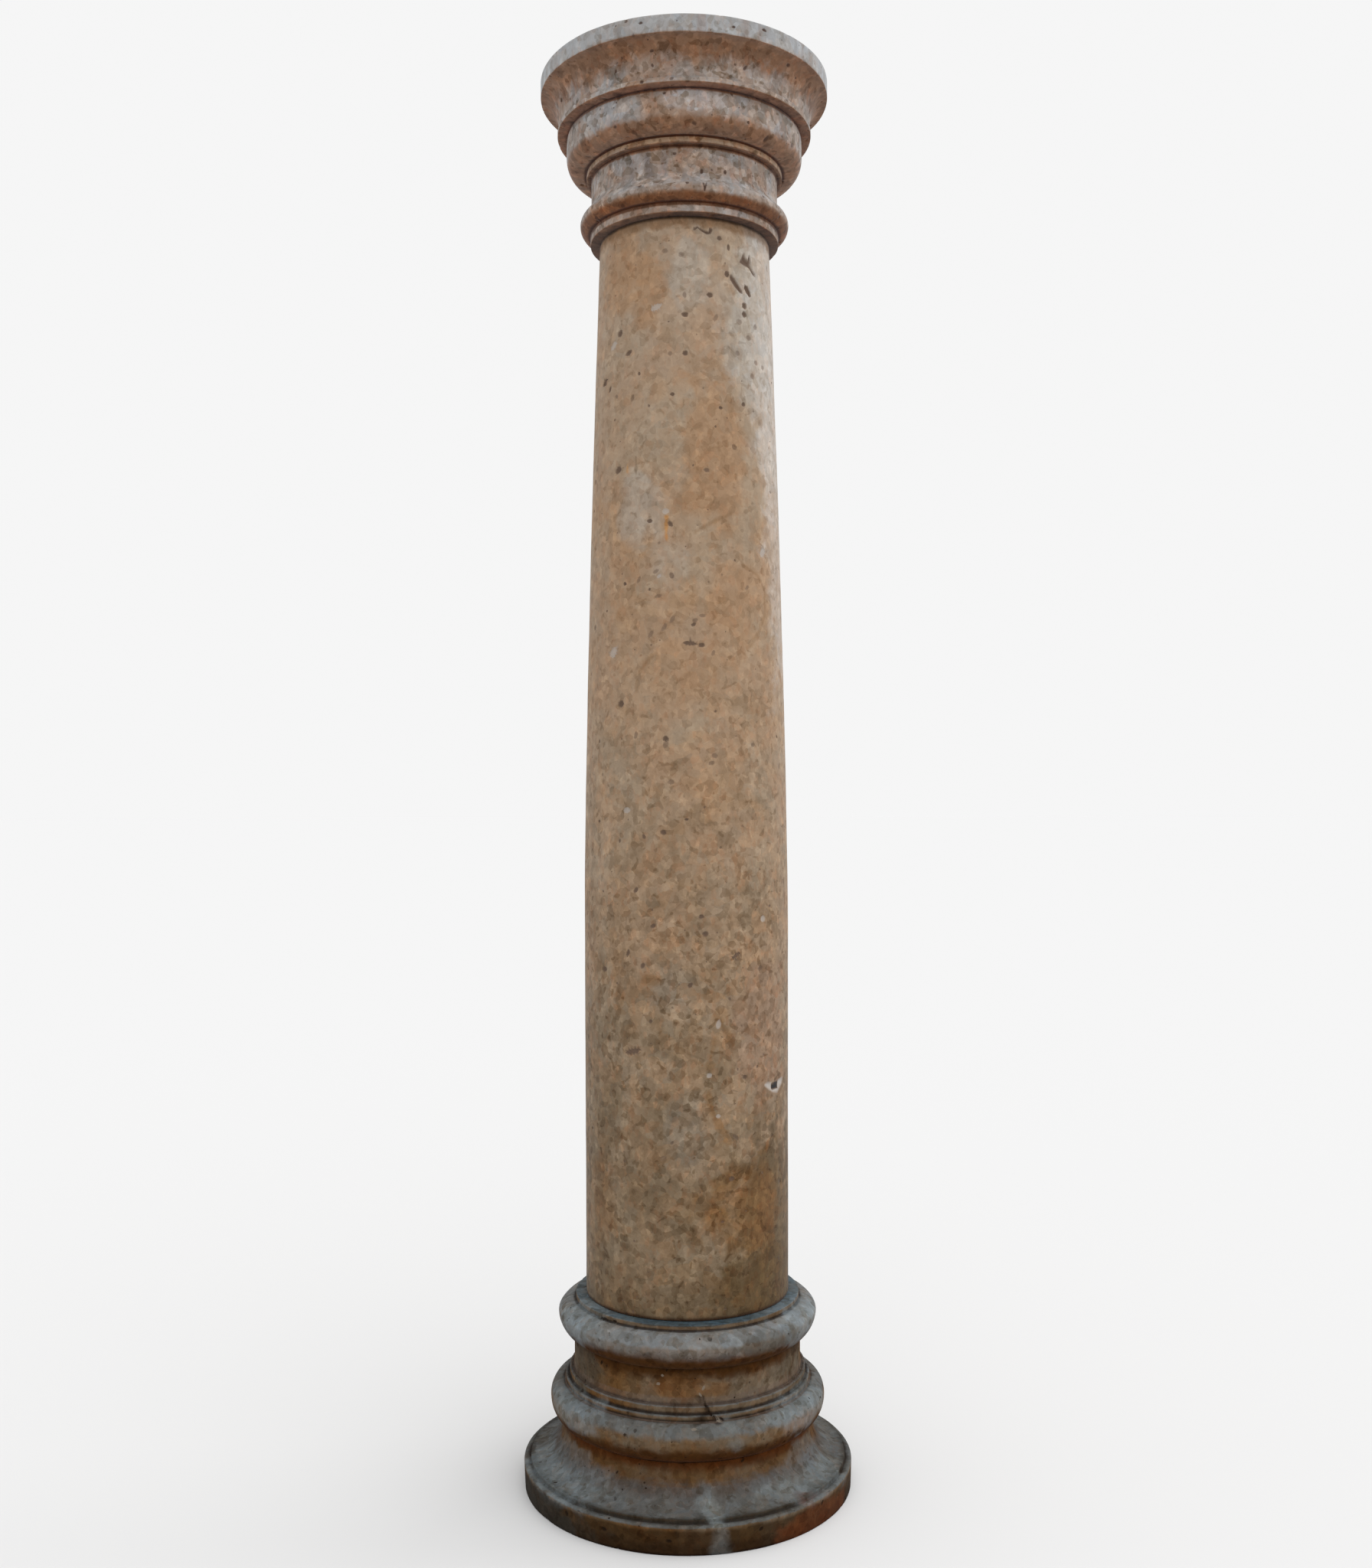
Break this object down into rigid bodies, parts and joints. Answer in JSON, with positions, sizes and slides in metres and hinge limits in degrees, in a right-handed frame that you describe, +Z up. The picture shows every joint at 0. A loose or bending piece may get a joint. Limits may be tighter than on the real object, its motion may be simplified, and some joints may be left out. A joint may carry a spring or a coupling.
{
  "type": "tuscan column",
  "caption": "Free-standing round stone column with a moulded base on a round plinth, a swelling plain shaft and a round moulded capital.",
  "frame": {"origin": "centre of the underside of the base, on the ground, on the column's axis", "axes": "+Z up along the column's axis; the picture's camera looks along +Y, with +X to the right"},
  "size_m": [0.734, 0.734, 3.15],
  "materials": {
    "base_stone": "weathered travertine, grey and brown, stained near the ground",
    "shaft_stone": "weathered travertine, warm tan, pitted",
    "capital_stone": "weathered travertine, mottled grey brown"
  },
  "bodies": {
    "root": {"base": "base_stone", "shaft": "shaft_stone", "capital": "capital_stone"}
  },
  "joints": []
}
